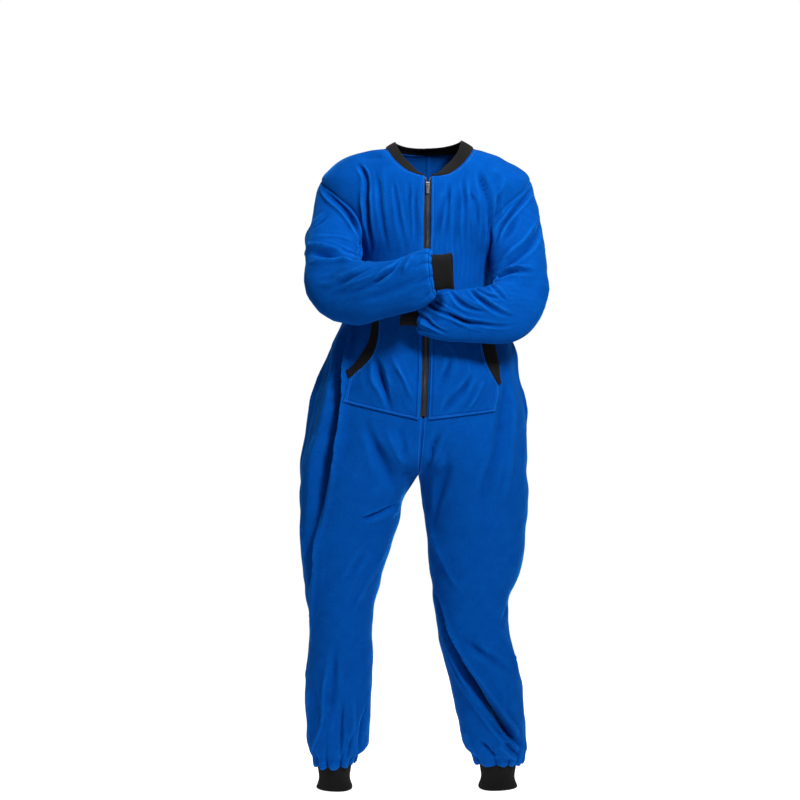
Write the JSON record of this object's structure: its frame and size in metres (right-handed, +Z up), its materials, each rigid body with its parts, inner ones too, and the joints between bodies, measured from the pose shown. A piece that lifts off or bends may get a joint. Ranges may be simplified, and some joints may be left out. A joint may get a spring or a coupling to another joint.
{
  "type": "fleece one-piece pajama",
  "caption": "Worn fleece one-piece pajama with crossed sleeves, rib collar and cuffs, front zip and kangaroo pockets.",
  "frame": {"origin": "between the neck ends of the two shoulder seams, where the garment hangs on the wearer", "axes": "+Z up along the garment's length, -Y out of the chest, the wearer's right side at -X"},
  "size_m": [0.5503, 0.4132, 1.4795],
  "materials": {
    "royal blue fleece": "soft napped fleece",
    "black rib knit": "matt knit rib",
    "black zip tape": "woven tape",
    "nickel": "satin nickel"
  },
  "bodies": {
    "garment": {"front_right": "royal blue fleece", "front_left": "royal blue fleece", "back_right": "royal blue fleece", "back_left": "royal blue fleece", "sleeve_right": "royal blue fleece", "sleeve_left": "royal blue fleece", "pocket_right": "royal blue fleece", "pocket_left": "royal blue fleece", "pocket_binding_right": "black rib knit", "pocket_binding_left": "black rib knit", "collar_band": "black rib knit", "wrist_cuff_right": "black rib knit", "wrist_cuff_left": "black rib knit", "ankle_cuff_right": "black rib knit", "ankle_cuff_left": "black rib knit", "zip_tape_right": "black zip tape", "zip_tape_left": "black zip tape", "zip_chain": "black zip tape", "zip_slider": "nickel"},
    "pull_tab": {"zip_pull_tab": "nickel"}
  },
  "joints": [
    {"name": "pull_tab_hinge", "type": "hinge", "parent": "garment", "child": "pull_tab", "pos_m": [0.00159, -0.10928, -0.08669], "axis": [-1, 0, 0], "range_deg": [0, 150]}
  ]
}
